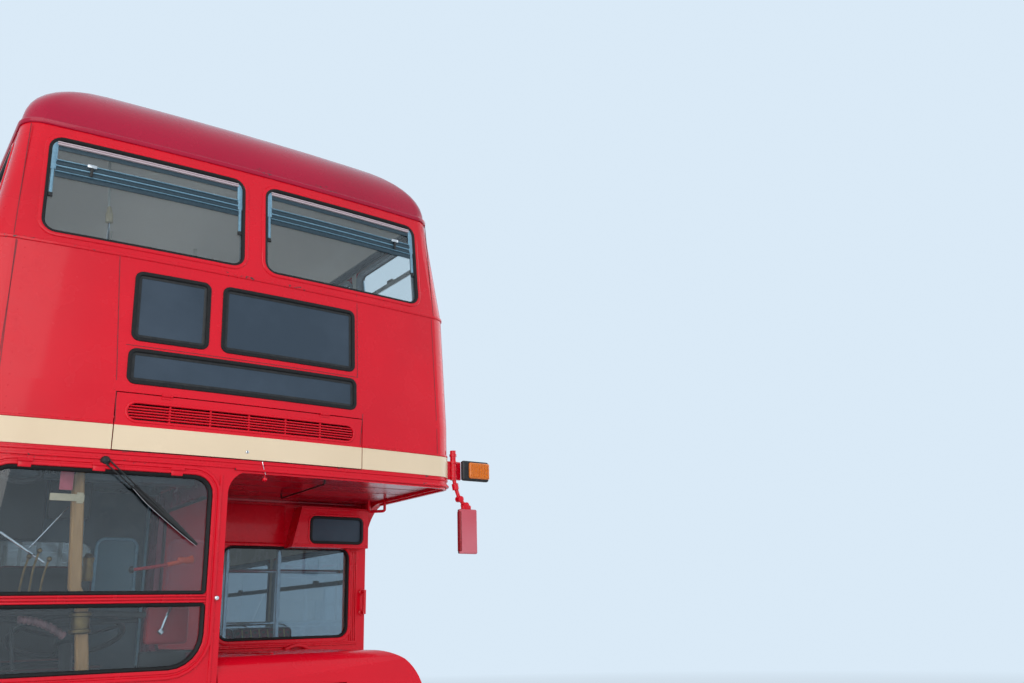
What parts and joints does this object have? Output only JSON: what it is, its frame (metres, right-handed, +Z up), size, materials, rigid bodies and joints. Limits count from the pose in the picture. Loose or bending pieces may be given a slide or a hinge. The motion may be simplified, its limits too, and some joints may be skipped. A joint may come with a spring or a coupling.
{
  "type": "half-cab double decker bus with an open rear platform",
  "caption": "Red half-cab double decker bus with a cream band, an open rear platform and stairs, a bonnet beside the cab and blank destination blinds.",
  "frame": {"origin": "on the ground under the middle of the body", "axes": "+Z up, -Y towards the front, +X towards the nearside with the platform entrance"},
  "size_m": [2.992, 8.4463, 4.381],
  "materials": {
    "body_red": "gloss, chipped at seams",
    "band_cream": "gloss",
    "glass": "clear",
    "tyre": "matte",
    "wheel_red": "gloss",
    "aluminium": "satin",
    "black": "semi-gloss",
    "engine_paint": "matte",
    "floor": "slatted, worn",
    "moquette": "woven pile",
    "blind": "linen, blank",
    "lamp": "fluted lens in a bright rim",
    "amber": "fluted lens in a black housing",
    "handrail": "white sleeve"
  },
  "bodies": {
    "root": {"blinds": "blind", "cab_floor": "floor", "cab_glazing": "glass", "cab_shell": "body_red", "chassis": "black", "cream_band": "band_cream", "door_rails": "body_red", "driveline": "engine_paint", "engine": "engine_paint", "front_axle": "black", "front_bulkhead": "body_red", "front_cowl": "body_red", "fuel_tank": "black", "grab_rails": "handrail", "indicators": "amber", "lamps": "lamp", "lower_floor": "floor", "lower_glazing": "glass", "lower_nearside_wall": "body_red", "lower_offside_wall": "body_red", "lower_rear_shell": "body_red", "mirrors": "body_red", "nearside_wing": "body_red", "number_box": "body_red", "platform": "floor", "radiator_grille": "aluminium", "rear_axle": "black", "roof": "body_red", "seat_cushions": "moquette", "seat_frames": "aluminium", "staircase": "floor", "steering_column": "black", "upper_floor": "body_red", "upper_front_shell": "body_red", "upper_glazing": "glass", "upper_nearside_wall": "body_red", "upper_offside_wall": "body_red", "upper_rear_shell": "body_red", "wiper": "black"},
    "nearside_knuckle": {"nearside_knuckle": "black"},
    "offside_knuckle": {"offside_knuckle": "black"},
    "nearside_front_wheel": {"nearside_front_wheel": "wheel_red", "nearside_front_tyre": "tyre"},
    "offside_front_wheel": {"offside_front_wheel": "wheel_red", "offside_front_tyre": "tyre"},
    "nearside_rear_wheels": {"nearside_rear_wheels": "wheel_red", "nearside_rear_tyres": "tyre"},
    "offside_rear_wheels": {"offside_rear_wheels": "wheel_red", "offside_rear_tyres": "tyre"},
    "steering_wheel": {"steering_wheel": "black"},
    "bonnet": {"bonnet": "body_red"},
    "intake_flap": {"intake_flap": "body_red", "flap_band": "band_cream"},
    "emergency_window": {"emergency_window": "body_red", "emergency_glass": "glass"},
    "cab_door": {"cab_door": "body_red", "cab_door_glass": "glass"}
  },
  "joints": [
    {"name": "nearside_steer", "type": "hinge", "parent": "root", "child": "nearside_knuckle", "pos_m": [0.9, -3.39, 0.51], "axis": [0, 0, 1], "range_deg": [-35, 35]},
    {"name": "offside_steer", "type": "hinge", "parent": "root", "child": "offside_knuckle", "pos_m": [-0.9, -3.39, 0.51], "axis": [0, 0, 1], "range_deg": [-35, 35]},
    {"name": "nearside_front_spin", "type": "hinge", "parent": "nearside_knuckle", "child": "nearside_front_wheel", "pos_m": [1, -3.39, 0.51], "axis": [1, 0, 0], "continuous": true},
    {"name": "offside_front_spin", "type": "hinge", "parent": "offside_knuckle", "child": "offside_front_wheel", "pos_m": [-1, -3.39, 0.51], "axis": [1, 0, 0], "continuous": true},
    {"name": "nearside_rear_spin", "type": "hinge", "parent": "root", "child": "nearside_rear_wheels", "pos_m": [0.9, 1.741, 0.51], "axis": [1, 0, 0], "continuous": true},
    {"name": "offside_rear_spin", "type": "hinge", "parent": "root", "child": "offside_rear_wheels", "pos_m": [-0.9, 1.741, 0.51], "axis": [1, 0, 0], "continuous": true},
    {"name": "steering_wheel_turn", "type": "hinge", "parent": "root", "child": "steering_wheel", "pos_m": [-0.65, -3.8, 1.56], "axis": [0, 0.3746, 0.9272], "range_deg": [-530, 530]},
    {"name": "bonnet_lift", "type": "hinge", "parent": "root", "child": "bonnet", "pos_m": [-0.0792, -3.7, 1.4425], "axis": [0, -1, 0], "range_deg": [0, 50]},
    {"name": "flap_lift", "type": "hinge", "parent": "root", "child": "intake_flap", "pos_m": [0, -4.18988, 2.6195], "axis": [-1, 0, 0], "range_deg": [0, 80]},
    {"name": "escape_lift", "type": "hinge", "parent": "root", "child": "emergency_window", "pos_m": [0, 4.11033, 3.8525], "axis": [1, 0, 0], "range_deg": [0, 75]},
    {"name": "cab_door_slide", "type": "slide", "parent": "root", "child": "cab_door", "axis": [0, 1, 0], "range_m": [0, 0.6]}
  ],
  "couplings": [
    {"joint": "offside_steer", "follows": "nearside_steer", "ratio": 1},
    {"joint": "steering_wheel_turn", "follows": "nearside_steer", "ratio": 15}
  ]
}
